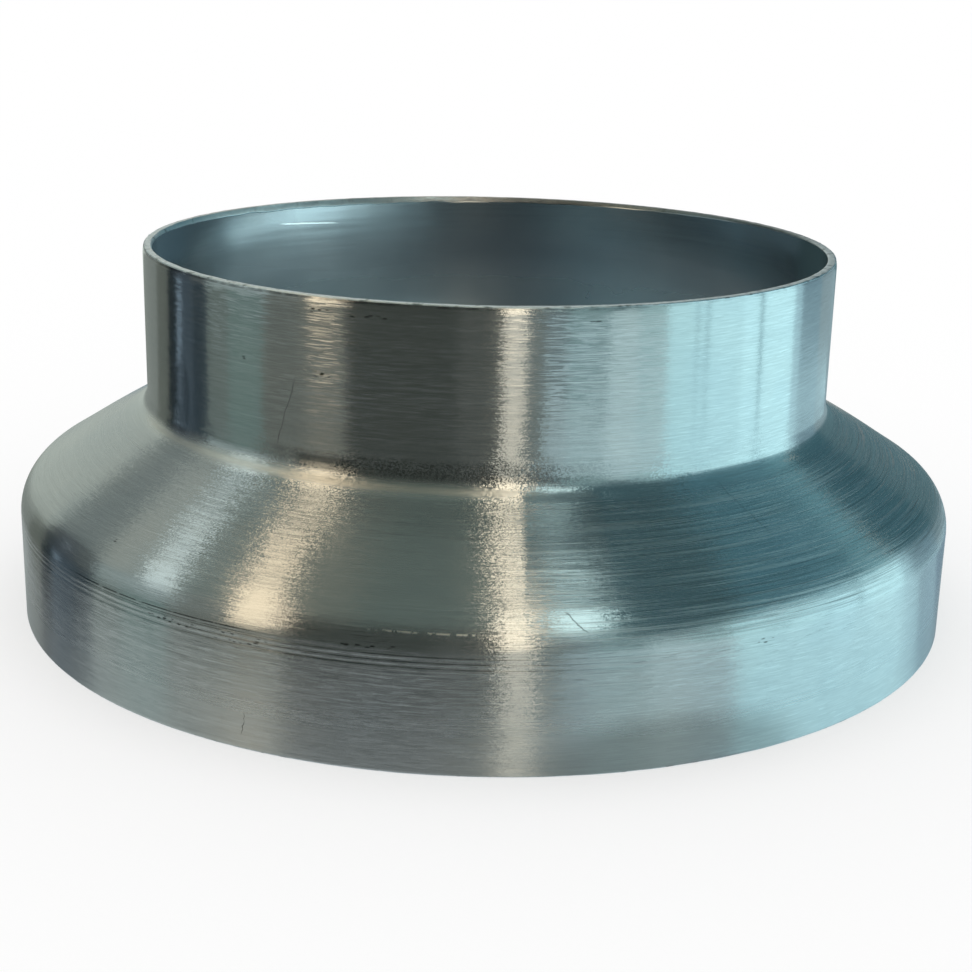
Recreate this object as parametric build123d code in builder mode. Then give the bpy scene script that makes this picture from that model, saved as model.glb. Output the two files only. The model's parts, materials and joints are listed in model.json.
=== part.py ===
from build123d import *
from math import atan2, pi, tan
import os

# Spun sheet-metal pipe reducer, 200 mm down to 150 mm, one piece, standing on its large end.
# Millimetres, +Z up. The origin is the centre of the rim that it stands on.

# Collars and cone: diameters outside, lengths between the corners of the outer line
large_od = 204.0
small_od = 149.0
large_length = 27.5
cone_rise = 16.5
small_length = 34.0

# Sheet and bends: the shoulder bend is measured outside, the neck bend in its hollow
wall = 2.0
shoulder_radius = 9.5
neck_radius = 4.0

# Sheared rims with their sharp corners rubbed off
rim_break = 0.25

# Tool ledges turned into the end of the shoulder bend: each one slopes in downwards, then steps out
ledge_count = 3
ledge_pitch = 1.05
ledge_step = 0.25
ledge_depth = 0.2

# Outer line of the section
large_r = large_od / 2
small_r = small_od / 2
neck_z = large_length + cone_rise
height = neck_z + small_length
cone_slope = atan2(cone_rise, large_r - small_r)

# The straight part of the large collar ends where the shoulder bend starts.
collar_top_z = large_length - shoulder_radius * tan((pi / 2 - cone_slope) / 2)

# Each ledge ends on the collar's outside, the highest one where the bend starts.
ledge_feet = [(large_r, collar_top_z - i * ledge_pitch) for i in range(ledge_count)]

with BuildPart() as reducer:
    # Half section of the sheet: its outer line, thickened inwards, so both faces of a bend share a centre
    with BuildSketch(Plane.XZ):
        with BuildLine():
            FilletPolyline(
                (large_r, 0),
                (large_r, large_length),
                (small_r, neck_z),
                (small_r, height),
                radius=[shoulder_radius, neck_radius],
            )
            offset(amount=wall, side=Side.LEFT, closed=True)
        make_face()
        with Locations(*ledge_feet):
            Polygon((0, 0), (0, ledge_pitch), (-ledge_depth, ledge_step), align=None, mode=Mode.SUBTRACT)
    revolve(axis=Axis.Z)

    # The flat rims are the lowest and the highest face.
    faces_up = reducer.faces().sort_by(Axis.Z)
    chamfer(faces_up[0].edges() + faces_up[-1].edges(), length=rim_break)

os.makedirs("parts", exist_ok=True)
reducer.part.label = "reducer"
export_step(reducer.part, "parts/reducer.step")
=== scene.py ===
import json
from math import atan2, cos, hypot, pi, radians, sin, tan

import bpy
from mathutils import Matrix, Vector, noise

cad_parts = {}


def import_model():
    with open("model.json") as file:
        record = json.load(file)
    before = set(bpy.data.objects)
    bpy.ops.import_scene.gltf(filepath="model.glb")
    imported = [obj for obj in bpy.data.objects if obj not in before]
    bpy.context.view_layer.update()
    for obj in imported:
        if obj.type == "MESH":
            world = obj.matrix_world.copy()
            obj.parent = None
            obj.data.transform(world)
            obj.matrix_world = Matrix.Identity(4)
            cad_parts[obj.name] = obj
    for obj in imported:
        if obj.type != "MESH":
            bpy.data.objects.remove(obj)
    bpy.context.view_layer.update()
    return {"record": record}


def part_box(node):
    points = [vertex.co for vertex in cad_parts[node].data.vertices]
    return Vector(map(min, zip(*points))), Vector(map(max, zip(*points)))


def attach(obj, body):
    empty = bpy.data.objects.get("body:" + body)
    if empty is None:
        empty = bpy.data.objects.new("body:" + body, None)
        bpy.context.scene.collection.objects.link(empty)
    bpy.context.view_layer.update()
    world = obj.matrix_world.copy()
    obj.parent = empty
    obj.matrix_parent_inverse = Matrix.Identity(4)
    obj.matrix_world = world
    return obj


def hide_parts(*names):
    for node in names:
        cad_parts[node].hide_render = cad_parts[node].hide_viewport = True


# The looks of a spun sheet-metal pipe reducer. Metres, +Z up, standing on its large end.
# An azimuth is in degrees round the axis: 0 faces the camera and 90 is to its right.

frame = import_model()

MM = 0.001


# Sizes of the section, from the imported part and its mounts

def mount_radius(name):
    for mount in frame["record"]["mounts"]:
        if mount["name"] == name:
            return mount["dims"]["r_mm"] * MM


LARGE_R = mount_radius("large_collar")
SMALL_R = mount_radius("small_spigot")
WALL = SMALL_R - mount_radius("small_bore")
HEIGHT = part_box("reducer")[1].z

# Lengths and bends as in the solid, apart from the neck bend, which is a little softer
LARGE_LENGTH = 27.5 * MM
CONE_RISE = 16.5 * MM
SHOULDER_RADIUS = 9.5 * MM
NECK_RADIUS = 6.0 * MM
RIM_BREAK = 0.25 * MM

LEDGE_COUNT = 3
LEDGE_PITCH = 1.05 * MM
LEDGE_STEP = 0.25 * MM
LEDGE_DEPTH = 0.2 * MM

NECK_Z = LARGE_LENGTH + CONE_RISE
CONE_SLOPE = atan2(CONE_RISE, LARGE_R - SMALL_R)
BEND_TURN = pi / 2 - CONE_SLOPE
COLLAR_TOP_Z = LARGE_LENGTH - SHOULDER_RADIUS * tan(BEND_TURN / 2)
SPIGOT_BOTTOM_Z = NECK_Z + NECK_RADIUS * tan(BEND_TURN / 2)

# Mesh: faces round the axis, distances between its rows and the angle that stays sharp
SEGMENTS = 720
WALL_ROWS = 2.4 * MM
SHOULDER_ROWS = 0.6 * MM
NECK_ROWS = 0.38 * MM
RIM_ROWS = 0.4 * MM
INSIDE_ROWS = 6 * MM
INSIDE_BEND_ROWS = 1.2 * MM
CORNER_STEPS = 3
SHARP_ANGLE = radians(24)

# Relief: long waves left by the spinning, pushed inwards only
WAVE_DEPTH = 0.045 * MM
WAVE_LENGTH = 22 * MM

# The cone is a little fuller halfway down than a straight one.
CONE_BULGE = 0.18 * MM

# Wear: the ledges are rubbed down, least round one azimuth and most on the far side of it
CRISP_AZIMUTH = -22
LEDGE_REST = 0.04
LEDGE_CRISP = 0.22
LEDGE_PATCH = 14 * MM

# Shearing drew the spigot's edge in a little.
EDGE_LEAN = 0.2 * MM
EDGE_LENGTH = 1.6 * MM

# Sheared rims: rubbed unevenly, with a burr here and there, each an azimuth and its length in millimetres
RIM_UNEVEN = 0.1 * MM
RIM_PATCH = 2.6 * MM
RIM_EDGE = 0.4 * MM
BURR_SIZE = 0.22 * MM
BURRS = (
    (-52, 3), (-47.5, 1.5), (-33, 2), (-22, 2.5), (-14.5, 1.5), (-3, 1.5), (8, 4), (13.5, 2), (17, 1.5),
    (24, 2), (41, 1.5), (66, 2.5), (97, 3), (121, 1.5), (150, 2), (188, 3), (214, 1.5), (239, 2), (271, 2),
)

# The spigot's inner edge is rubbed down on one side, to this height and width.
LIP_AZIMUTH = 212
LIP_HEIGHT = 1.1 * MM
LIP_WIDTH = 0.5 * MM
LIP_REACH = 6 * MM
LIP_PATCH = 6 * MM


# Section

def spread(start, end, spacing):
    """Points from start to end, start left out, about the spacing apart."""
    steps = max(1, round(hypot(end[0] - start[0], end[1] - start[1]) / spacing))
    return [tuple(a + (b - a) * i / steps for a, b in zip(start, end)) for i in range(1, steps + 1)]


def bend(centre, radius, start, end, spacing):
    """Points along a round from one angle to the other, both ends included."""
    steps = max(2, round(radius * abs(end - start) / spacing))
    angles = [start + (end - start) * i / steps for i in range(steps + 1)]
    return [(centre[0] + radius * cos(a), centre[1] + radius * sin(a)) for a in angles]


def wall_line(depth, spacing, shoulder_spacing, neck_spacing):
    """The wall from rim to rim, at a depth under its outer face."""
    shoulder = bend(
        (LARGE_R - SHOULDER_RADIUS, COLLAR_TOP_Z), SHOULDER_RADIUS - depth, 0, BEND_TURN, shoulder_spacing
    )
    neck = bend(
        (SMALL_R + NECK_RADIUS, SPIGOT_BOTTOM_Z), NECK_RADIUS + depth, pi + BEND_TURN, pi, neck_spacing
    )
    line = [(LARGE_R - depth, RIM_BREAK), (LARGE_R - depth, RIM_BREAK + RIM_EDGE)]
    line += spread(line[-1], shoulder[0], spacing)
    line += shoulder[1:]
    line += spread(line[-1], neck[0], spacing)
    line += neck[1:]
    line += spread(line[-1], (SMALL_R - depth, HEIGHT - RIM_BREAK - RIM_EDGE), spacing)
    return line + [(SMALL_R - depth, HEIGHT - RIM_BREAK)]


def outer_line():
    """The outer face from the base rim up, with a row on each crest and in each root of the ledges."""
    plain = wall_line(0, WALL_ROWS, SHOULDER_ROWS, NECK_ROWS)
    low = COLLAR_TOP_Z - (LEDGE_COUNT - 1) * LEDGE_PITCH
    high = COLLAR_TOP_Z + LEDGE_PITCH
    ledges = []
    for i in range(LEDGE_COUNT):
        foot = low + i * LEDGE_PITCH
        for up in (0, LEDGE_STEP / 2, LEDGE_STEP, (LEDGE_STEP + LEDGE_PITCH) / 2):
            ledges.append((LARGE_R - bend_inset(foot + up), foot + up))
    ledges.append((LARGE_R - bend_inset(high), high))
    lean_z = HEIGHT - RIM_BREAK - EDGE_LENGTH
    middle = [p for p in plain if high < p[1] < lean_z]
    edge = spread((SMALL_R, lean_z), (SMALL_R, HEIGHT - RIM_BREAK), RIM_ROWS)
    edge = [(r - EDGE_LEAN * ((z - lean_z) / EDGE_LENGTH) ** 2, z) for r, z in edge]
    return [p for p in plain if p[1] < low] + ledges + middle + [(SMALL_R, lean_z)] + edge


def bend_inset(z):
    """How far the shoulder bend has come in from the collar's outside at a height."""
    up = max(0, z - COLLAR_TOP_Z)
    return SHOULDER_RADIUS - (SHOULDER_RADIUS**2 - up**2) ** 0.5


def ledge_inset(z):
    """How far the saw-tooth ledges lie under the collar's outside at a height."""
    for i in range(LEDGE_COUNT):
        up = z - (COLLAR_TOP_Z - i * LEDGE_PITCH)
        if 0 <= up < LEDGE_PITCH:
            return LEDGE_DEPTH * min(up / LEDGE_STEP, (LEDGE_PITCH - up) / (LEDGE_PITCH - LEDGE_STEP))
    return 0


def bulge(r):
    """How far the cone stands out of a straight line between both bends at a radius."""
    top_r = SMALL_R + NECK_RADIUS * (1 - cos(BEND_TURN))
    bottom_r = LARGE_R - SHOULDER_RADIUS * (1 - cos(BEND_TURN))
    across = min(max((r - top_r) / (bottom_r - top_r), 0), 1)
    return CONE_BULGE * (1 - cos(2 * pi * across)) / 2


def rim(outer_r, inner_r, z, out):
    """The rubbed-off corner, flat and corner of a rim, from the outside in. Out is 1 at a top and -1 at
    a base."""
    size, low = RIM_BREAK, z - out * RIM_BREAK
    turns = [pi / 2 * i / CORNER_STEPS for i in range(1, CORNER_STEPS + 1)]
    first = [(outer_r - size + size * cos(a), low + out * size * sin(a)) for a in turns]
    last = [(inner_r + size - size * sin(a), low + out * size * cos(a)) for a in turns]
    flat = spread(first[-1], (inner_r + size, z), RIM_ROWS)
    return first + flat + last[:-1]


# Reducer mesh

def wave(azimuth, along, length, seed):
    """Smooth noise from 0 to 1 that closes round the axis, other noise for each seed."""
    x = cos(azimuth) * SMALL_R / length
    y = sin(azimuth) * SMALL_R / length
    return 0.5 + 0.5 * noise.noise(Vector((x, y, along / length + seed)))


def crispness(azimuth):
    """How much of the ledges is left, from LEDGE_REST where they are worn most up to LEDGE_CRISP."""
    near = 0.5 + 0.5 * cos(azimuth - radians(CRISP_AZIMUTH))
    patchy = near**6 * (0.6 + 0.8 * wave(azimuth, 0, LEDGE_PATCH, 5))
    return LEDGE_REST + (LEDGE_CRISP - LEDGE_REST) * min(1, patchy)


def burr(azimuth):
    """From 0 to 1 at the middle of a burr."""
    highest = 0
    for middle, length in BURRS:
        off = abs((azimuth - radians(middle) + pi) % (2 * pi) - pi) * SMALL_R
        half = length * MM / 2
        if off < half:
            highest = max(highest, 0.5 + 0.5 * cos(pi * off / half))
    return highest


def lip(azimuth):
    """From 0 to 1 where the spigot's inner edge is rubbed down the most."""
    near = 0.5 + 0.5 * cos(azimuth - radians(LIP_AZIMUTH))
    return near**2 * (0.7 + 0.5 * wave(azimuth, 0, LIP_PATCH, 21))


def add_rows(mesh_rows, line, kind):
    """A line of the section, each point with its kind and the way that it faces."""
    for i, (r, z) in enumerate(line):
        before = line[max(i - 1, 0)]
        after = line[min(i + 1, len(line) - 1)]
        run = (after[0] - before[0], after[1] - before[1])
        size = hypot(*run)
        mesh_rows.append({"r": r, "z": z, "kind": kind, "normal": (run[1] / size, -run[0] / size)})


def relief(row, azimuth, crisp, rough_edge, rubbed):
    """A row's radius and height at an azimuth, with waves, ledges, bulge and worn rims."""
    r, z = row["r"], row["z"]
    # The spigot's inner edge is rubbed outwards and down, and the bore under it less and less.
    if z > HEIGHT - LIP_REACH and row["kind"] != "outside":
        in_from = max(0, 1 - (r - SMALL_R + WALL) / (2 * RIM_BREAK))
        fade = 1 - max(0, HEIGHT - RIM_BREAK - z) / LIP_REACH
        r += LIP_WIDTH * rubbed * in_from * max(0, (z - HEIGHT + RIM_BREAK) / RIM_BREAK)
        z -= LIP_HEIGHT * rubbed * fade * min(1, (HEIGHT - z) / RIM_BREAK)
    if row["kind"] == "rim":
        at_top = z > HEIGHT / 2
        uneven = RIM_UNEVEN * wave(azimuth, r * 8, RIM_PATCH, 9 if at_top else 13)
        if at_top:
            return r + BURR_SIZE * rough_edge * (r - SMALL_R + WALL) / WALL, z - uneven
        return r, z + uneven
    out = -WAVE_DEPTH * wave(azimuth, z - r, WAVE_LENGTH, 0)
    if row["kind"] == "outside":
        out += bulge(r)
        r -= ledge_inset(z) * crisp
    return r + out * row["normal"][0], z + out * row["normal"][1]


def make_reducer():
    """The whole wall as one closed mesh, made of rows of points round the axis."""
    rows = []
    add_rows(rows, outer_line(), "outside")
    add_rows(rows, rim(SMALL_R - EDGE_LEAN, SMALL_R - WALL, HEIGHT, 1), "rim")
    add_rows(rows, wall_line(WALL, INSIDE_ROWS, INSIDE_BEND_ROWS, INSIDE_BEND_ROWS)[::-1], "inside")
    add_rows(rows, rim(LARGE_R, LARGE_R - WALL, 0, -1)[::-1], "rim")

    turns = [2 * pi * j / SEGMENTS for j in range(SEGMENTS)]
    crisp = [crispness(azimuth) for azimuth in turns]
    rough_edge = [burr(azimuth) for azimuth in turns]
    rubbed = [lip(azimuth) for azimuth in turns]
    points = []
    for row in rows:
        for azimuth, crisp_here, edge_here, lip_here in zip(turns, crisp, rough_edge, rubbed):
            r, z = relief(row, azimuth, crisp_here, edge_here, lip_here)
            points.append((r * sin(azimuth), -r * cos(azimuth), z))

    faces = []
    for i in range(len(rows)):
        below, above = i * SEGMENTS, (i + 1) % len(rows) * SEGMENTS
        for j in range(SEGMENTS):
            k = (j + 1) % SEGMENTS
            faces.append((below + j, below + k, above + k, above + j))

    mesh = bpy.data.meshes.new("spun_reducer")
    mesh.from_pydata(points, [], faces)
    kinds = ["outside", "rim", "inside"]
    slots = []
    for row, after in zip(rows, rows[1:] + rows[:1]):
        kind = row["kind"] if row["kind"] == after["kind"] else "rim"
        slots += [kinds.index(kind)] * SEGMENTS
    mesh.polygons.foreach_set("material_index", slots)
    mesh.shade_smooth()
    mesh.set_sharp_from_angle(angle=SHARP_ANGLE)
    reducer = bpy.data.objects.new("spun_reducer", mesh)
    bpy.context.scene.collection.objects.link(reducer)
    return reducer


# Materials

class Shader:
    """A material's node tree, with one short call for each node."""

    def __init__(self, name):
        self.material = bpy.data.materials.new(name)
        self.material.use_nodes = True
        self.tree = self.material.node_tree
        self.surface = self.tree.nodes["Principled BSDF"]

    def add(self, kind, inputs=None, **settings):
        made = self.tree.nodes.new(kind)
        for key, value in settings.items():
            setattr(made, key, value)
        for key, value in (inputs or {}).items():
            self.put(made.inputs[key], value)
        return made

    def put(self, socket, value):
        if isinstance(value, bpy.types.NodeSocket):
            self.tree.links.new(value, socket)
        else:
            socket.default_value = value

    def math(self, operation, *values):
        made = self.add("ShaderNodeMath", operation=operation)
        for socket, value in zip(made.inputs, values):
            self.put(socket, value)
        return made.outputs[0]

    def plus(self, first, second):
        return self.math("ADD", first, second)

    def minus(self, first, second):
        return self.math("SUBTRACT", first, second)

    def times(self, first, second):
        return self.math("MULTIPLY", first, second)

    def linear(self, value, slope, start):
        """The value times the slope, plus the start."""
        return self.math("MULTIPLY_ADD", value, slope, start)

    def most(self, first, *others):
        """The highest of some values."""
        for other in others:
            first = self.math("MAXIMUM", first, other)
        return first

    def vector_math(self, operation, first, second):
        made = self.add("ShaderNodeVectorMath", operation=operation)
        self.put(made.inputs[0], first)
        self.put(made.inputs["Scale" if operation == "SCALE" else 1], second)
        return made.outputs["Value" if operation == "DOT_PRODUCT" else "Vector"]

    def normalized(self, vector):
        return self.add("ShaderNodeVectorMath", {0: vector}, operation="NORMALIZE").outputs["Vector"]

    def split(self, vector):
        """A vector's three numbers."""
        return self.add("ShaderNodeSeparateXYZ", {"Vector": vector}).outputs

    def joined(self, x, y, z):
        return self.add("ShaderNodeCombineXYZ", {"X": x, "Y": y, "Z": z}).outputs[0]

    def ramp(self, value, low, high, to_low=0.0, to_high=1.0):
        """To_low up to low and to_high from high on, with a smooth rise between them."""
        made = self.add(
            "ShaderNodeMapRange",
            {"Value": value, "From Min": low, "From Max": high, "To Min": to_low, "To Max": to_high},
            interpolation_type="SMOOTHSTEP",
        )
        return made.outputs["Result"]

    def hump(self, value, low, high, soft):
        """1 between low and high, falling to 0 over the soft distance outside them."""
        up = self.ramp(value, low - soft, low)
        down = self.ramp(value, high, high + soft, 1.0, 0.0)
        return self.times(up, down)

    def noise(self, vector, scale, detail=2.0, roughness=0.5):
        made = self.add(
            "ShaderNodeTexNoise",
            {"Vector": vector, "Scale": scale, "Detail": detail, "Roughness": roughness},
        )
        return made.outputs["Fac"]

    def cells(self, vector, scale):
        """Grains, each with three numbers of its own from -0.5 to 0.5."""
        made = self.add("ShaderNodeTexVoronoi", {"Vector": vector, "Scale": scale})
        return self.vector_math("SUBTRACT", made.outputs["Color"], (0.5, 0.5, 0.5))

    def dots(self, vector):
        """1 in small round dots, in about half of the grains."""
        made = self.add("ShaderNodeTexVoronoi", {"Vector": vector, "Scale": 1.0})
        shown = self.ramp(self.split(made.outputs["Color"])[0], 0.40, 0.50)
        return self.times(self.ramp(made.outputs["Distance"], 0.40, 0.22), shown)

    def mix_colour(self, factor, first, second):
        made = self.add("ShaderNodeMix", {"Factor": factor}, data_type="RGBA")
        self.put(made.inputs[6], first)
        self.put(made.inputs[7], second)
        return made.outputs[2]


class Turned:
    """Where a point of a turned surface lies: its height, its radius and its way along the section."""

    def __init__(self, shader):
        self.shader = shader
        self.coordinates = shader.add("ShaderNodeTexCoord").outputs["Object"]
        self.x, self.y, self.z = shader.split(self.coordinates)
        flat = shader.joined(self.x, self.y, 0.0)
        self.r = shader.add("ShaderNodeVectorMath", {0: flat}, operation="LENGTH").outputs["Value"]
        self.out = shader.normalized(flat)
        self.along = shader.minus(self.z, shader.times(self.r, tan(CONE_SLOPE)))
        self.normal = shader.add("ShaderNodeNewGeometry").outputs["Normal"]
        self.tangent = shader.add("ShaderNodeTangent", direction_type="RADIAL", axis="Z").outputs[0]
        self.up = shader.vector_math("CROSS_PRODUCT", self.normal, self.tangent)

    def drawn_out(self, across, round_length, width):
        """Coordinates drawn out round the axis. Across shifts them, so that no two are alike."""
        return self.shader.joined(
            self.shader.math("DIVIDE", self.x, round_length),
            self.shader.math("DIVIDE", self.y, round_length),
            self.shader.linear(self.along, 1 / width, across),
        )

    def streaks(self, across, round_length, width, detail=2.0, roughness=0.6):
        """Noise drawn out round the axis."""
        return self.shader.noise(self.drawn_out(across, round_length, width), 1.0, detail, roughness)

    def facing(self, azimuth):
        """1 at an azimuth, 0 a quarter turn from it and -1 on the far side."""
        way = (sin(radians(azimuth)), -cos(radians(azimuth)), 0)
        return self.shader.vector_math("DOT_PRODUCT", self.out, way)

    def on_side(self, azimuth):
        """1 round an azimuth and 0 on the far side, where what is measured across would show again."""
        return self.shader.ramp(self.facing(azimuth), 0.2, 0.5)

    def spots(self, places):
        """Up to 1 inside any of the places, each an azimuth, a height, half a width and half a height."""
        shader = self.shader
        inside = 0.0
        for azimuth, z, half_width, half_height in places:
            a = radians(azimuth)
            side = shader.vector_math("DOT_PRODUCT", self.coordinates, (cos(a), sin(a), 0))
            over = shader.math("DIVIDE", side, half_width * MM)
            rise = shader.math("DIVIDE", shader.minus(self.z, z * MM), half_height * MM)
            reach = shader.math("SQRT", shader.linear(over, over, shader.times(rise, rise)))
            spot = shader.times(shader.ramp(reach, 0.55, 1.0, 1.0, 0.0), self.on_side(azimuth))
            inside = shader.most(inside, spot)
        return inside

    def scratch(self, azimuth, z, slant, length, width, wobble=0.4 * MM):
        """1 in a scratch with its middle at an azimuth and height. Slant is its turn from upright."""
        shader = self.shader
        a, turn = radians(azimuth), radians(slant)
        way = (cos(a) * cos(turn), sin(a) * cos(turn), -sin(turn))
        run = (cos(a) * sin(turn), sin(a) * sin(turn), cos(turn))
        drift = shader.minus(shader.noise(self.coordinates, 420, 4.0, 0.65), 0.5)
        off = shader.plus(shader.vector_math("DOT_PRODUCT", self.coordinates, way), z * sin(turn))
        off = shader.math("ABSOLUTE", shader.linear(drift, 4 * wobble, off))
        end = shader.minus(shader.vector_math("DOT_PRODUCT", self.coordinates, run), z * cos(turn))
        thin = shader.ramp(off, width * 0.4, width, 1.0, 0.0)
        short = shader.ramp(shader.math("ABSOLUTE", end), length * 0.3, length * 0.5, 1.0, 0.0)
        return shader.times(shader.times(thin, short), self.on_side(azimuth))

    def tilted(self, round_tilt, up_tilt, grain=None):
        """The normal, leant round the axis, up the section and at random."""
        shader = self.shader
        made = shader.vector_math("SCALE", self.tangent, round_tilt)
        made = shader.vector_math("ADD", made, shader.vector_math("SCALE", self.up, up_tilt))
        if grain:
            made = shader.vector_math("ADD", made, grain)
        return shader.normalized(shader.vector_math("ADD", made, self.normal))


# Dark scratches on the outside: azimuth, height in millimetres, degrees from upright, length and width
SCRATCHES = (
    (-30.2, 55, 18, 17, 0.08),
    (9.5, 28.0, -51, 5.6, 0.17),
    (36.3, 39.5, -20, 9, 0.09),
    (15, 75.3, 86, 2.5, 0.12),
    (-24.5, 5, 12, 5, 0.10),
    (118, 60, -25, 12, 0.10),
    (201, 38, 30, 10, 0.10),
    (262, 12, -70, 9, 0.10),
)

# Pitted places on the outside: azimuth and height, half the width and half the height in millimetres
PITTED = (
    (-24, 75.4, 4, 0.7),
    (-17, 75.0, 5, 0.5),
    (-24, 63.5, 2.5, 0.8),
    (-38, 64.5, 1.2, 0.8),
    (-24, 48.8, 3, 0.7),
    (-33, 48.3, 1.5, 0.5),
    (-46, 30.3, 1.5, 0.7),
    (-33, 21.4, 9, 0.8),
    (-25, 21.2, 8, 1.3),
    (-12, 23.8, 9, 0.9),
    (30, 21.5, 2.5, 0.8),
    (105, 25, 14, 1.2),
    (160, 70, 5, 2),
    (235, 24, 10, 1.3),
)

# A smear on the spigot and a darker patch low on the large collar's right front, in the same measures
SMEAR = (-54, 53, 4, 10)
LOW_DARK_PATCH = (20, 0, 32, 13)


class Outside(Turned):
    """The outside: its zones and patterns, from 0 to 1, and the looks that are made of them."""

    def __init__(self, shader):
        super().__init__(shader)

        # Zones up the section
        self.on_collar = shader.ramp(self.z, COLLAR_TOP_Z - 1 * MM, COLLAR_TOP_Z + 3 * MM, 1.0, 0.0)
        self.at_neck = shader.hump(self.z, 42 * MM, 48 * MM, 4 * MM)
        self.on_cone = shader.hump(self.z, 26 * MM, 40 * MM, 4 * MM)
        self.on_spigot = shader.ramp(self.z, 50 * MM, 62 * MM)

        # Handling: one side is scuffed, the other is still as it came off the tool
        self.patches = shader.noise(self.coordinates, 38, 3.0, 0.55)
        self.scuffed = shader.ramp(shader.plus(self.facing(-22), self.patches), 0.75, 1.55)
        self.far_left = shader.ramp(self.facing(-110), 0.35, 0.75)
        self.to_right = shader.ramp(self.facing(60), 0.45, 0.85)

        # Long turned lines, short dashes and fine grains
        self.threads = self.streaks(83, 32 * MM, 0.26 * MM, 3.0, 0.7)
        dash = shader.cells(self.drawn_out(0, 2.8 * MM, 0.17 * MM), 1.0)
        self.dash_round, self.dash_up, self.dash_dark = shader.split(dash)
        self.grain = shader.cells(self.coordinates, 4600)

    def line_lean(self):
        """How far the surface leans up the section in turned lines and dashes."""
        shader = self.shader
        lines = shader.minus(self.streaks(7, 16 * MM, 0.25 * MM), 0.5)
        line_size = shader.linear(self.on_cone, 0.22, 0.08)
        line_size = shader.times(line_size, shader.linear(self.far_left, -0.7, 1.0))
        dash_size = shader.times(self.scuffed, shader.linear(self.on_spigot, 0.13, 0.05))
        dashes = shader.times(self.dash_up, shader.plus(dash_size, 0.02))
        lean = shader.plus(shader.times(lines, line_size), dashes)
        lean = shader.plus(lean, shader.ramp(self.z, 52 * MM, HEIGHT, 0.0, 0.03))
        threaded = shader.times(self.on_collar, shader.ramp(self.z, 6 * MM, 18 * MM, 0.03, 0.14))
        return shader.plus(lean, shader.times(shader.minus(self.threads, 0.5), threaded))

    def neck_lean(self):
        """From the spigot down, the neck bend starts a little sooner on the right and later right of its
        front."""
        shader = self.shader
        sooner = shader.hump(self.z, 42.6 * MM, 44.6 * MM, 1.3 * MM)
        sooner = shader.times(sooner, shader.ramp(self.facing(60), 0.80, 0.95))
        later = shader.hump(self.z, 44.9 * MM, 46.3 * MM, 1.3 * MM)
        later = shader.times(later, shader.ramp(self.facing(18), 0.982, 0.996))
        return shader.linear(later, -0.09, shader.times(sooner, 0.14))

    def grains(self):
        """The random lean of the grains, most in the neck bend and at the top of the cone."""
        shader = self.shader
        in_front = shader.ramp(self.facing(2), 0.80, 0.98)
        high = shader.ramp(self.z, 27 * MM, 42 * MM, 0.25, 0.8)
        size = shader.most(self.at_neck, shader.times(self.on_cone, high), shader.times(in_front, 0.4))
        size = shader.times(size, shader.linear(self.on_spigot, -0.6, 1.0))
        size = shader.times(size, shader.ramp(self.facing(-5), 0.35, 0.9, 0.2, 1.0))
        return shader.vector_math("SCALE", self.grain, shader.linear(size, 0.075, 0.008))

    def leant_normal(self):
        round_lean = self.shader.times(self.dash_round, self.shader.linear(self.scuffed, 0.016, 0.006))
        up_lean = self.shader.plus(self.line_lean(), self.neck_lean())
        return self.tilted(round_lean, up_lean, self.grains())

    def burnish_and_highlight(self):
        """A soft line in the neck bend and a broken one on the shoulder bend, both rougher and painted
        bright cream as a highlight.
        """
        shader = self.shader
        wide = shader.hump(self.z, 43.7 * MM, 44.5 * MM, 1.5 * MM)
        core = shader.hump(self.z, 43.7 * MM, 44.1 * MM, 0.6 * MM)
        neck_line = shader.linear(core, 0.5, shader.times(wide, 0.4))
        neck_line = shader.times(neck_line, shader.ramp(self.facing(-32), 0.74, 0.90))
        broken = shader.ramp(self.streaks(61, 1.8 * MM, 4 * MM), 0.50, 0.56)
        broken = shader.times(broken, shader.ramp(self.facing(-4), 0.988, 0.996))
        shoulder_line = shader.hump(self.z, 26.2 * MM, 26.35 * MM, 0.15 * MM)
        return shader.most(neck_line, shader.times(broken, shoulder_line))

    def roughness(self, burnish_and_highlight):
        shader = self.shader
        low_down = shader.ramp(self.z, 0.0, 20 * MM, 0.13, 0.045)
        made = shader.linear(self.on_collar, low_down, 0.155)
        made = shader.linear(self.on_cone, 0.045, made)
        made = shader.linear(self.at_neck, 0.02, made)
        scored = shader.ramp(self.streaks(19, 30 * MM, 0.30 * MM, 3.0), 0.46, 0.66)
        score_size = shader.linear(shader.times(self.on_cone, self.to_right), 0.22, 0.02)
        made = shader.plus(made, shader.times(scored, score_size))
        made = shader.linear(shader.times(self.far_left, self.on_cone), 0.04, made)
        made = shader.linear(self.patches, 0.03, made)
        return shader.linear(burnish_and_highlight, 0.26, made)

    def line_grime(self):
        """Grime in turned grooves, threads and dashes."""
        shader = self.shader
        at_ledges = shader.hump(self.z, 18 * MM, 25 * MM, 3 * MM)
        grooves = shader.ramp(self.streaks(31, 6 * MM, 0.22 * MM, 3.0), 0.58, 0.70)
        groove_size = shader.most(
            shader.times(self.scuffed, 0.06),
            shader.times(self.on_cone, 0.16),
            shader.times(at_ledges, 0.35),
        )
        thread_size = shader.linear(self.to_right, shader.linear(self.on_cone, 0.30, 0.03), 0.08)
        dash_size = shader.most(shader.times(self.scuffed, 0.10), shader.times(self.to_right, 0.14))
        return shader.most(
            shader.times(grooves, groove_size),
            shader.times(shader.ramp(self.threads, 0.50, 0.66), thread_size),
            shader.times(shader.plus(self.dash_dark, 0.2), dash_size),
        )

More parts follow.
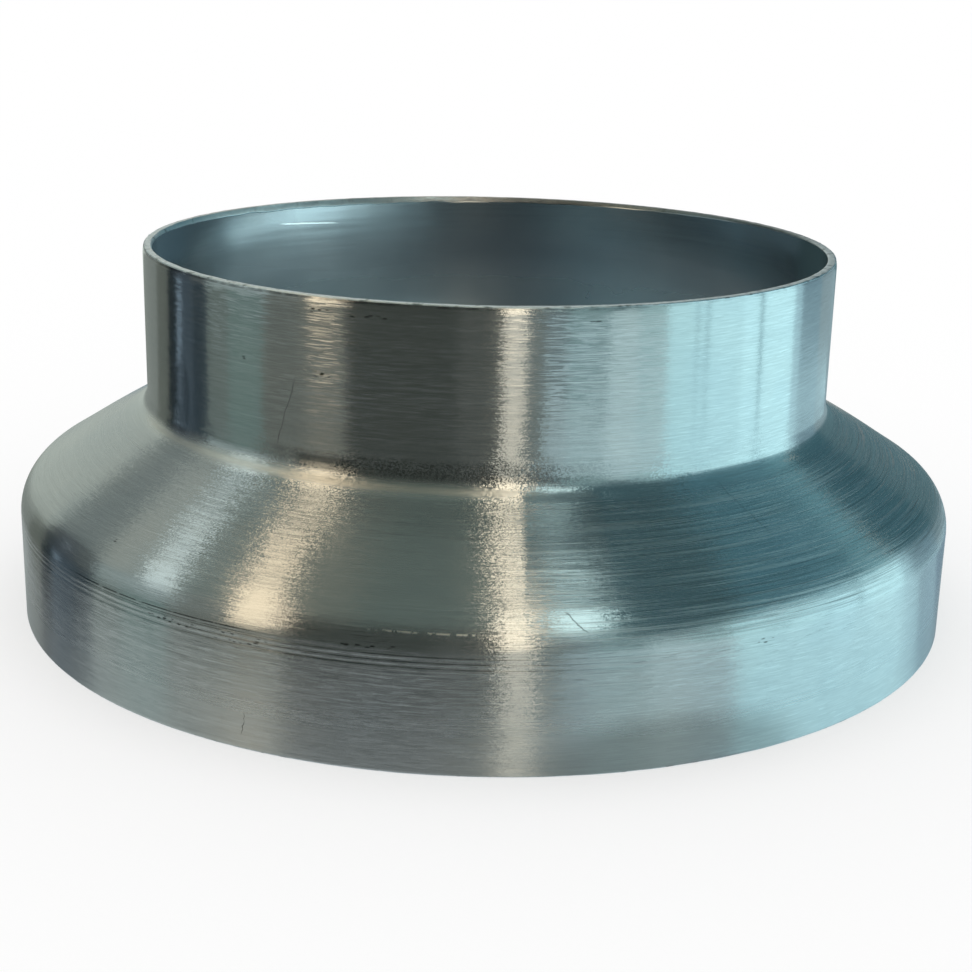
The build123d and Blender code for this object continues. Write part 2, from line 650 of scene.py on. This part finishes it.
    def ledge_shade(self):
        """Painted shade under each ledge where it is still crisp, and more where one was turned deeper."""
        shader = self.shader
        lowest = COLLAR_TOP_Z - (LEDGE_COUNT - 1) * LEDGE_PITCH
        step = shader.math("DIVIDE", shader.minus(self.z, lowest), LEDGE_PITCH)
        stepped = shader.hump(shader.math("FRACT", step), 0.02, 0.16, 0.06)
        stepped = shader.times(stepped, shader.hump(self.z, lowest, COLLAR_TOP_Z + LEDGE_PITCH, 0.1 * MM))
        crisp = shader.ramp(self.facing(CRISP_AZIMUTH + 6), 0.80, 0.97, 0.03, 0.36)
        patchy = shader.ramp(self.streaks(73, 5 * MM, 1 * MM, 3.0), 0.38, 0.56, 0.2, 1.0)

        deep = shader.ramp(self.streaks(79, 3 * MM, 2 * MM), 0.36, 0.48)
        deep = shader.times(deep, shader.ramp(self.facing(-36), 0.968, 0.985))
        upper = shader.hump(self.z, 23.15 * MM, 23.25 * MM, 0.12 * MM)
        lower = shader.hump(self.z, 22.6 * MM, 22.65 * MM, 0.1 * MM)
        deep_line = shader.most(upper, shader.times(lower, 0.7))
        return shader.most(
            shader.times(stepped, shader.times(crisp, patchy)),
            shader.times(deep, shader.times(deep_line, 0.85)),
        )

    def neck_grime_and_shade(self):
        """Specks above the neck bend, and painted shade at the two azimuths where the bright strips are
        mirrored there.
        """
        shader = self.shader
        speck = shader.ramp(shader.split(self.grain)[2], -0.1, 0.3, 0.12, 0.5)
        above_bend = shader.hump(self.z, 46.4 * MM, 48.2 * MM, 1.6 * MM)
        above_bend = shader.times(above_bend, shader.ramp(self.facing(-10), 0.86, 0.98))
        strip_shade = shader.hump(self.z, 45.9 * MM, 47.6 * MM, 1.0 * MM)
        strip_shade_size = shader.most(
            shader.times(shader.ramp(self.facing(4), 0.99, 0.999), 0.25),
            shader.times(shader.ramp(self.facing(-23.5), 0.994, 0.9985), 0.62),
        )
        return shader.most(shader.times(speck, above_bend), shader.times(strip_shade, strip_shade_size))

    def rim_edge_shadow(self):
        """Painted shadow: a dark line under the spigot's rim, where its burrs would cast it."""
        shader = self.shader
        at_edge = shader.hump(self.z, HEIGHT - 0.6 * MM, HEIGHT - 0.35 * MM, 0.2 * MM)
        dark = shader.ramp(self.streaks(43, 4 * MM, 3 * MM), 0.36, 0.60, 0.1, 0.55)
        return shader.times(at_edge, shader.times(dark, shader.linear(self.to_right, -0.6, 1.0)))

    def grime_and_shade(self):
        shader = self.shader
        pits = shader.dots(self.drawn_out(53, 1.5 * MM, 0.5 * MM))
        marks = [
            self.line_grime(),
            self.ledge_shade(),
            self.neck_grime_and_shade(),
            self.rim_edge_shadow(),
            shader.times(self.spots((SMEAR,)), 0.35),
            shader.times(pits, shader.times(self.spots(PITTED), 0.8)),
        ]
        for azimuth, z, slant, length, width in SCRATCHES:
            marks.append(shader.times(self.scratch(azimuth, z * MM, slant, length * MM, width * MM), 0.7))
        return shader.most(*marks)

    def colour(self, burnish_and_highlight):
        shader = self.shader
        clouded = shader.ramp(self.patches, 0.3, 0.7)
        steel = shader.mix_colour(clouded, (0.57, 0.585, 0.58, 1), (0.53, 0.56, 0.57, 1))
        bright = shader.times(shader.ramp(self.dash_up, 0.30, 0.46), shader.times(self.to_right, 0.3))
        bright = shader.plus(bright, shader.ramp(self.threads, 0.46, 0.32, 0.0, 0.24))
        steel = shader.mix_colour(bright, steel, (0.72, 0.74, 0.735, 1))
        # A darker patch low on the large collar's right front
        darker_patch = shader.times(self.spots((LOW_DARK_PATCH,)), 0.45)
        steel = shader.mix_colour(darker_patch, steel, (0.12, 0.11, 0.10, 1))
        # Painted highlight: the neck and shoulder lines mixed towards bright cream
        steel = shader.mix_colour(burnish_and_highlight, steel, (0.92, 0.89, 0.82, 1))
        # Grime, pits and scratches, together with painted shade under the ledges, under the rim and over
        # the strips' reflections above the neck
        return shader.mix_colour(self.grime_and_shade(), steel, (0.04, 0.045, 0.045, 1))


def outside_metal():
    """Turned by a roller: fine lines round the axis, a grainy neck, dull collar, pits and scratches."""
    shader = Shader("turned_metal")
    outside = Outside(shader)
    burnish_and_highlight = outside.burnish_and_highlight()
    surface = shader.surface
    shader.put(surface.inputs["Base Color"], outside.colour(burnish_and_highlight))
    shader.put(surface.inputs["Roughness"], outside.roughness(burnish_and_highlight))
    shader.put(surface.inputs["Normal"], outside.leant_normal())
    shader.put(surface.inputs["Tangent"], outside.tangent)
    surface.inputs["Metallic"].default_value = 1.0
    surface.inputs["Anisotropic"].default_value = 0.92
    surface.inputs["Anisotropic Rotation"].default_value = 0.25
    return shader.material


def inside_metal():
    """Smooth satin, drawn over the former."""
    shader = Shader("satin_metal")
    turned = Turned(shader)
    surface = shader.surface
    cloud = shader.noise(turned.coordinates, 55, 3.0)
    streaks = shader.minus(turned.streaks(3, 30 * MM, 0.8 * MM), 0.5)
    normal = turned.tilted(shader.times(streaks, 0.02), shader.times(streaks, 0.035))
    shader.put(surface.inputs["Normal"], normal)
    roughness = shader.ramp(turned.z, 56 * MM, 68 * MM, 0.26, 0.165)
    shader.put(surface.inputs["Roughness"], shader.linear(cloud, 0.04, roughness))
    clouded = shader.ramp(cloud, 0.35, 0.65)
    tint = shader.mix_colour(clouded, (0.38, 0.42, 0.44, 1), (0.42, 0.455, 0.47, 1))
    # A thin streak under the rim on the far side, painted near-white as a highlight
    rubbed = turned.scratch(219, 72.6 * MM, 87, 19 * MM, 0.25 * MM, 0.05 * MM)
    shader.put(surface.inputs["Base Color"], shader.mix_colour(rubbed, tint, (0.95, 0.97, 0.97, 1)))
    surface.inputs["Metallic"].default_value = 1.0
    return shader.material


def rim_metal():
    """Sheared and rubbed, so brighter and coarser than the faces beside it."""
    shader = Shader("sheared_metal")
    turned = Turned(shader)
    surface = shader.surface
    grit = shader.noise(turned.coordinates, 1300, 3.0)
    shader.put(surface.inputs["Roughness"], shader.ramp(grit, 0.3, 0.7, 0.28, 0.5))
    bump = shader.add("ShaderNodeBump", {"Strength": 1.0, "Distance": 0.06 * MM, "Height": grit})
    shader.put(surface.inputs["Normal"], bump.outputs[0])

    chatter = shader.ramp(shader.noise(turned.coordinates, 420, 2.0), 0.56, 0.7)
    tint = shader.mix_colour(chatter, (0.58, 0.64, 0.66, 1), (0.24, 0.28, 0.29, 1))
    # The rim's colour turns darker round azimuth 138 and greyer round azimuth 208
    darker_back_right = shader.ramp(turned.facing(138), 0.6, 0.92, 0.0, 0.85)
    tint = shader.mix_colour(darker_back_right, tint, (0.10, 0.125, 0.13, 1))
    greyer_back_left = shader.ramp(turned.facing(208), 0.55, 0.9, 0.0, 0.8)
    shader.put(surface.inputs["Base Color"], shader.mix_colour(greyer_back_left, tint, (0.42, 0.38, 0.36, 1)))
    surface.inputs["Metallic"].default_value = 1.0
    return shader.material


# Camera: a pinhole fitted to the rims and sides in the photograph, whose frame is square

FRAME_PIXELS = 972
FOCAL_PIXELS = 1720.97
CAMERA_PLACE = Vector((0, -374.64, 136.64)) * MM
CAMERA_PITCH = 0.2966
CAMERA_YAW = 0.0009
CAMERA_ROLL = 0.0234


# Studio: plain coloured panels that only mirror-like surfaces see

STUDIO_R = 12.0
ROOM_R = STUDIO_R + 1
SHADE_R = 120 * MM

# Point of each azimuth that the aimed cards are reckoned from, on the lower spigot
AIM_R = 80 * MM
AIM_Z = 55 * MM

# Tilts past the cone's, where the upper cards end
CEILING_TILT = 67
BEYOND_TILT = 84

# Elevations where the room's sides end
ROOM_LOW = -20
ROOM_HIGH = 58

NECK_SHEET_Z = 60 * MM
NECK_SHEET_INNER_R = 77 * MM
BORE_PANEL_GAP = 0.5 * MM
BORE_PANEL_TOP = 76 * MM


def plain_way(azimuth, elevation):
    """The way out from the object at an azimuth and an elevation."""
    a, e = radians(azimuth), radians(elevation)
    return Vector((sin(a) * cos(e), -cos(a) * cos(e), sin(e)))


def shown_way(azimuth, tilt):
    """The way out from the object to what the camera sees mirrored at an azimuth of its outside.
    Tilt is how far the surface faces up there: 0 on the spigot, about -5 for the large collar,
    which lies lower, 0 to 57 on both bends and 57 on the cone."""
    a, e = radians(azimuth), radians(tilt)
    out = Vector((sin(a), -cos(a), 0))
    seen = (out * AIM_R + Vector((0, 0, AIM_Z)) - CAMERA_PLACE).normalized()
    return seen.reflect(out * cos(e) + Vector((0, 0, sin(e))))


def on_room(azimuth, elevation):
    """A point of the room at an azimuth and an elevation."""
    return plain_way(azimuth, elevation) * ROOM_R


def on_shade(azimuth, elevation):
    """A point of the bowl under the object at an azimuth and an elevation."""
    return plain_way(azimuth, elevation) * SHADE_R


def over_neck(azimuth, r):
    """A point above the neck bend at an azimuth and a radius."""
    return plain_way(azimuth, 0) * r + Vector((0, 0, NECK_SHEET_Z))


def on_bore(azimuth, z):
    """A point just off the wall of the small bore at an azimuth and a height."""
    return plain_way(azimuth, 0) * (SMALL_R - WALL - BORE_PANEL_GAP) + Vector((0, 0, z))


def glow(name, colour, one_sided):
    """A plain light that no lamp sampling sees. One_sided leaves a panel's back clear."""
    material = bpy.data.materials.new(name)
    material.cycles.emission_sampling = "NONE"
    material.use_nodes = True
    tree = material.node_tree
    tree.nodes.clear()
    light = tree.nodes.new("ShaderNodeEmission")
    light.inputs["Color"].default_value = (*colour, 1)
    light.inputs["Strength"].default_value = 1.0
    out = tree.nodes.new("ShaderNodeOutputMaterial")
    tree.links.new(light.outputs[0], out.inputs["Surface"])
    if one_sided:
        mix = tree.nodes.new("ShaderNodeMixShader")
        tree.links.new(tree.nodes.new("ShaderNodeNewGeometry").outputs["Backfacing"], mix.inputs[0])
        tree.links.new(light.outputs[0], mix.inputs[1])
        tree.links.new(tree.nodes.new("ShaderNodeBsdfTransparent").outputs[0], mix.inputs[2])
        tree.links.new(mix.outputs[0], out.inputs["Surface"])
    return material


def panel(name, place, sides, lows, highs, colour, steps=24, one_sided=False):
    """A curved panel. Sides are its azimuths, and lows and highs its lower and upper corners at both of
    them, in the measure that place takes."""
    points = []
    for i in range(steps + 1):
        for j in range(steps + 1):
            across, up = j / steps, i / steps
            azimuth = sides[0] + (sides[1] - sides[0]) * across
            low = lows[0] + (lows[1] - lows[0]) * across
            high = highs[0] + (highs[1] - highs[0]) * across
            points.append(place(azimuth, low + (high - low) * up))
    wide = steps + 1
    faces = [
        (i * wide + j, i * wide + j + 1, (i + 1) * wide + j + 1, (i + 1) * wide + j)
        for i in range(steps)
        for j in range(steps)
    ]
    mesh = bpy.data.meshes.new(name)
    mesh.from_pydata(points, [], faces)
    mesh.materials.append(glow(name, colour, one_sided))
    made = bpy.data.objects.new(name, mesh)
    bpy.context.scene.collection.objects.link(made)
    made.visible_camera = False
    made.visible_diffuse = False
    made.visible_shadow = False


def card(name, sides, lows, highs, colour, nearness=0.0):
    """A panel aimed for the camera, by the azimuths and tilts where it is mirrored."""
    def place(azimuth, tilt):
        return shown_way(azimuth, tilt) * (STUDIO_R - nearness)

    panel(name, place, sides, lows, highs, colour)


def room():
    """Everything round about, which the other sides of the object mirror."""
    for name, left, right, colour in (
        ("room_front", -80, 80, (0.22, 0.26, 0.26)),
        ("room_dark_right", 80, 102, (0.08, 0.11, 0.12)),
        ("room_cyan_right", 102, 118, (0.70, 1.00, 1.05)),
        ("room_grey_right", 118, 128, (0.26, 0.31, 0.31)),
        ("room_strip_right", 128, 133, (1.50, 1.30, 1.00)),
        ("room_shade_right", 133, 152, (0.07, 0.09, 0.09)),
        ("room_back", 152, 208, (0.60, 0.66, 0.66)),
        ("room_shade_left", 208, 226, (0.08, 0.10, 0.10)),
        ("room_strip_left", 226, 231, (1.50, 1.30, 1.00)),
        ("room_grey_left", 231, 246, (0.22, 0.27, 0.27)),
        ("room_cyan_left", 246, 262, (0.75, 1.05, 1.10)),
        ("room_dark_left", 262, 280, (0.07, 0.10, 0.11)),
    ):
        panel(name, on_room, (left, right), (ROOM_LOW, ROOM_LOW), (ROOM_HIGH, ROOM_HIGH), colour)
    around = (0, 360)
    panel("room_table", on_room, around, (-90, -90), (ROOM_LOW, ROOM_LOW), (0.42, 0.45, 0.46), steps=72)
    panel("room_ceiling", on_room, around, (ROOM_HIGH, ROOM_HIGH), (90, 90), (0.40, 0.43, 0.42), steps=72)
    # What shows through the open large end
    panel("room_shade", on_shade, around, (-90, -90), (-60, -60), (0.07, 0.10, 0.12), steps=48)


def lower_cards():
    """Mirrored at the foot of the spigot and low on the large collar."""
    for name, left, right, highs, colour in (
        ("table_far_left", -90, -62, (-8, -12), (0.42, 0.46, 0.46)),
        ("table_shadow", -62, -50, (-14, -14), (0.52, 0.56, 0.57)),
        ("table_corner", -50, -46, (-12, -9), (0.60, 0.65, 0.65)),
        ("table_left", -46, -20, (-7.8, -7.8), (0.78, 0.84, 0.82)),
        ("table_middle", -20, -2, (-8.8, -8.8), (0.64, 0.69, 0.71)),
        ("table_front", -2, 8, (-9, -8), (0.52, 0.59, 0.60)),
        ("table_blinds", 8, 21, (-7, -6), (0.48, 0.56, 0.57)),
        ("table_blue", 21, 27, (-6, -5.5), (0.44, 0.50, 0.56)),
        ("table_bright", 27, 57, (-5.5, -5.5), (0.60, 0.92, 1.02)),
        ("table_right", 57, 63, (-5.5, -5.5), (0.38, 0.56, 0.65)),
        ("table_far_right", 63, 90, (-5.5, -5.5), (0.21, 0.31, 0.39)),
    ):
        card(name, (left, right), (-26, -26), highs, colour, nearness=0.1)


def level_cards():
    """Mirrored on the spigot, the collar and the outer halves of both bends."""
    for name, left, right, highs, colour in (
        ("wall_far_left", -90, -64, (27, 27), (0.24, 0.27, 0.25)),
        ("wall_left", -64, -58.5, (27, 27), (0.15, 0.17, 0.15)),
        ("corner_left", -58.5, -55.3, (30, 36), (0.02, 0.03, 0.035)),
        ("glass_left", -55.3, -50, (36, 36), (0.07, 0.10, 0.125)),
        ("curtain_left", -50, -46, (34, 30), (0.03, 0.05, 0.065)),
        ("shelf_left", -46, -41, (27, 27), (0.145, 0.185, 0.17)),
        ("shelf_middle", -41, -34, (27, 27), (0.16, 0.24, 0.22)),
        ("door_left", -34, -20, (27, 27), (0.15, 0.165, 0.145)),
        ("dark_middle", -20, -4, (27, 27), (0.065, 0.075, 0.067)),
        ("dark_front", -4, 2, (27, 27), (0.10, 0.11, 0.10)),
        ("strip_side", 2, 8, (27, 27), (0.20, 0.24, 0.23)),
        ("blind_a", 8, 11, (22, 22), (0.17, 0.22, 0.23)),
        ("blind_b", 11, 17, (22, 18), (0.27, 0.41, 0.42)),
        ("blind_c", 17, 21.5, (14, 15), (0.55, 0.75, 0.76)),
        ("blind_d", 21.5, 26, (18, 21), (0.46, 0.70, 0.72)),
        ("window_left", 26, 30, (21, 23), (0.74, 1.18, 1.25)),
        ("window_middle", 30, 40, (23, 27), (0.81, 1.29, 1.38)),
        ("window", 40, 53, (27, 32), (0.91, 1.44, 1.54)),
        ("jamb_right", 53, 55.5, (34, 33), (0.52, 0.82, 0.92)),
        ("wall_right", 55.5, 64, (33, 30), (0.25, 0.40, 0.47)),
        ("wall_far_right", 64, 90, (27, 24), (0.31, 0.43, 0.47)),
    ):
        card(name, (left, right), (-15, -15), highs, colour)


def upper_cards():
    """Mirrored on the inner halves of both bends and on the cone."""
    for name, left, right, colour in (
        ("ceiling_far_left", -90, -57, (0.52, 0.58, 0.53)),
        ("ceiling_left", -57, -46, (0.24, 0.28, 0.27)),
        ("ceiling_grey", -46, -40, (0.42, 0.46, 0.42)),
        ("ceiling_door", -40, -27, (0.22, 0.27, 0.25)),
        ("ceiling_warm", -27, -13, (0.20, 0.23, 0.20)),
        ("ceiling_dark", -13, 7, (0.16, 0.205, 0.185)),
        ("ceiling_teal", 7, 28, (0.07, 0.14, 0.16)),
        ("ceiling_blue", 28, 38, (0.09, 0.22, 0.27)),
        ("ceiling_haze", 38, 46, (0.115, 0.27, 0.325)),
        ("ceiling_light", 46, 51.5, (0.18, 0.40, 0.46)),
        ("ceiling_right", 52, 66, (0.065, 0.16, 0.195)),
        ("ceiling_far_right", 66, 90, (0.12, 0.22, 0.25)),
    ):
        card(name, (left, right), (7, 7), (CEILING_TILT, CEILING_TILT), colour, nearness=-0.3)

    for name, left, right, colour in (
        ("beyond_far_left", -90, -45, (0.42, 0.46, 0.44)),
        ("beyond_left", -45, -28, (1.05, 1.05, 0.95)),
        ("beyond_strip_left", -28, -20.5, (1.9, 1.7, 1.3)),
        ("beyond_middle", -20.5, -0.5, (0.72, 0.71, 0.62)),
        ("beyond_strip_front", -0.5, 7, (1.8, 1.7, 1.35)),
        ("beyond_front", 7, 13, (0.13, 0.18, 0.18)),
        ("beyond_right", 13, 90, (0.05, 0.11, 0.14)),
    ):
        card(name, (left, right), (CEILING_TILT, CEILING_TILT), (BEYOND_TILT, BEYOND_TILT), colour)


def front_cards():
    """Lights, strips and narrow bars that stand in front of the other cards."""
    for name, left, right, lows, highs, colour, nearness in (
        ("shelf_top", -46, -33, (8, 8), (27, 27), (0.38, 0.46, 0.45), 0.2),
        ("door_top", -33, -20, (8, 8), (27, 27), (0.24, 0.27, 0.25), 0.2),
        ("glass_top", -55.2, -53.4, (2, 2), (6, 6), (0.42, 0.56, 0.68), 0.3),
        ("glass_upper", -56.5, -50, (10, 10), (36, 36), (0.055, 0.068, 0.08), 0.2),
        ("glass_glint", -53.0, -51.8, (21, 21), (25, 25), (0.62, 0.75, 0.85), 0.3),
        ("curtain_top", -50.5, -46, (9, 9), (33, 30), (0.12, 0.14, 0.14), 0.3),
        ("sill_front", 8, 26, (-2, -2), (1.5, 1.5), (0.95, 1.25, 1.3), 0.15),
        ("sill_right", 53, 72, (-2, -2), (2, 2), (0.72, 1.08, 1.18), 0.15),
        ("sky_patch", 7.2, 12.6, (23, 23), (52.5, 52.5), (1.35, 1.78, 1.75), 0.4),
        ("sky_patch_side", 12.6, 14.0, (24, 26), (47, 44), (0.42, 0.63, 0.63), 0.4),
        ("streak_left", -38.5, -33.8, (22, 22), (58, 58), (1.0, 1.15, 1.12), 0.4),
        ("strip_left", -26.2, -21.2, (8.5, 8.5), (58.5, 58.5), (1.65, 1.38, 1.0), 0.5),
        ("strip_left_side", -21.1, -19.7, (12, 12), (40, 40), (0.95, 0.80, 0.60), 0.5),
        ("strip_front", 1.9, 5.2, (9, 9), (60, 60), (2.2, 1.9, 1.45), 0.5),
        ("strip_low", 2.2, 5.2, (-16, -16), (9, 9), (0.85, 0.82, 0.70), 0.5),
    ):
        card(name, (left, right), lows, highs, colour, nearness)

    for name, azimuth, wide, low, high, colour in (
        ("bar_a", 31.0, 0.5, 1, 16, (0.28, 0.48, 0.52)),
        ("bar_b", 32.8, 0.5, 1, 16, (0.22, 0.40, 0.45)),
        ("bar_c", 44.1, 0.6, 0, 33, (0.10, 0.24, 0.30)),
        ("bar_d", 31.8, 0.4, 16, 26, (1.30, 1.60, 1.65)),
    ):
        sides = (azimuth - wide / 2, azimuth + wide / 2)
        card(name, sides, (low, low), (high, high), colour, nearness=0.3)


def neck_sheets():
    """Sheets over the neck, seen only from below, that keep one bright card off all but the shoulder."""
    inner = (NECK_SHEET_INNER_R, NECK_SHEET_INNER_R)
    for name, sides, outer, colour in (
        ("neck_shade_left", (6.2, 10.8), (92.5 * MM, 89.5 * MM), (0.11, 0.17, 0.175)),
        ("neck_shade_right", (10.8, 20), (89.5 * MM, 94 * MM), (0.095, 0.15, 0.16)),
    ):
        panel(name, over_neck, sides, inner, outer, colour, one_sided=True)


def bore_panels():
    """Faint light on the far side of the bore, mirrored where the bore turns out of sight."""
    tops = (BORE_PANEL_TOP, BORE_PANEL_TOP)
    for name, sides, bottoms, colour in (
        ("bore_right", (150, 105), (58 * MM, 64 * MM), (0.045, 0.078, 0.083)),
        ("bore_back", (205, 150), (60 * MM, 64.5 * MM), (0.080, 0.125, 0.145)),
        ("bore_left", (255, 205), (68 * MM, 58 * MM), (0.090, 0.150, 0.180)),
    ):
        panel(name, on_bore, sides, bottoms, tops, colour, one_sided=True)


def bore_lamps():
    """Rows of soft lamps in the bore, in place of the light that falls in over its rim. Each one shines
    only away from its own side, and only on what mirrors it."""
    reach, first, step = 60 * MM, 46, 18
    for z, height, strengths in (
        (61.5 * MM, 6 * MM, (0.5, 1.2, 2.3, 3.2, 3.2, 2.2, 1.4, 0.9)),
        (50 * MM, 12 * MM, (0.1, 0.15, 0.15, 0.2, 0.25, 0.25, 0.2, 0.15, 0.1)),
    ):
        for i, strength in enumerate(strengths):
            azimuth = first + step * i
            # Towards the stretch of the bore that mirrors it for the camera
            facing = 185 + 0.61 * azimuth
            width = reach * radians(step) * abs(cos(radians(facing - azimuth - 180)))
            data = bpy.data.lights.new("bore_lamp", "AREA")
            data.shape = "RECTANGLE"
            data.size = width
            data.size_y = height
            data.color = (0.73, 1.0, 1.04)
            data.energy = strength * pi * width * height
            made = bpy.data.objects.new("bore_lamp", data)
            bpy.context.scene.collection.objects.link(made)
            made.location = plain_way(azimuth, 0) * reach + Vector((0, 0, z))
            made.rotation_euler = (-plain_way(facing, 0)).to_track_quat("Z", "Y").to_euler()
            made.visible_camera = False
            made.visible_diffuse = False


def studio():
    room()
    lower_cards()
    level_cards()
    upper_cards()
    front_cards()
    neck_sheets()
    bore_panels()
    bore_lamps()


def floor():
    size = 6.0
    mesh = bpy.data.meshes.new("floor")
    corners = [(-size, -size, 0), (size, -size, 0), (size, size, 0), (-size, size, 0)]
    mesh.from_pydata(corners, [], [(0, 1, 2, 3)])
    made = bpy.data.objects.new("floor", mesh)
    bpy.context.scene.collection.objects.link(made)
    shader = Shader("white_floor")
    shader.surface.inputs["Base Color"].default_value = (1, 1, 1, 1)
    shader.surface.inputs["Roughness"].default_value = 1.0
    shader.surface.inputs["Specular IOR Level"].default_value = 0

    # Half of what a straight look sees is the plain white of the backdrop, so the shadow stays light.
    rays = shader.add("ShaderNodeLightPath").outputs
    straight = shader.most(rays["Is Camera Ray"], rays["Is Glossy Ray"], rays["Is Transmission Ray"])
    white = shader.add("ShaderNodeEmission", {"Color": (1, 1, 1, 1), "Strength": 1.0})
    mix = shader.add("ShaderNodeMixShader", {0: shader.times(straight, 0.5)})
    shader.put(mix.inputs[1], shader.surface.outputs[0])
    shader.put(mix.inputs[2], white.outputs[0])
    shader.put(shader.tree.nodes["Material Output"].inputs["Surface"], mix.outputs[0])
    mesh.materials.append(shader.material)
    made.visible_glossy = False


def world():
    made = bpy.data.worlds.new("studio_world")
    made.use_nodes = True
    bpy.context.scene.world = made
    background = made.node_tree.nodes["Background"]
    background.inputs["Color"].default_value = (1, 1, 1, 1)
    background.inputs["Strength"].default_value = 1.0


def camera():
    data = bpy.data.cameras.new("camera")
    data.sensor_width = 36
    data.lens = FOCAL_PIXELS / FRAME_PIXELS * data.sensor_width
    data.clip_start = 0.01
    made = bpy.data.objects.new("camera", data)
    bpy.context.scene.collection.objects.link(made)
    bpy.context.scene.camera = made
    forward = Vector((
        sin(CAMERA_YAW) * cos(CAMERA_PITCH), cos(CAMERA_YAW) * cos(CAMERA_PITCH), -sin(CAMERA_PITCH)
    ))
    level = Vector((cos(CAMERA_YAW), -sin(CAMERA_YAW), 0))
    above = level.cross(forward)
    right = level * cos(CAMERA_ROLL) + above * sin(CAMERA_ROLL)
    up = above * cos(CAMERA_ROLL) - level * sin(CAMERA_ROLL)
    turn = Matrix((right, up, -forward)).transposed().to_4x4()
    made.matrix_world = Matrix.Translation(CAMERA_PLACE) @ turn


reducer = make_reducer()
for material in (outside_metal(), rim_metal(), inside_metal()):
    reducer.data.materials.append(material)
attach(reducer, "root")
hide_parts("reducer")

studio()
floor()
world()
camera()
bpy.context.scene.view_settings.view_transform = "Standard"
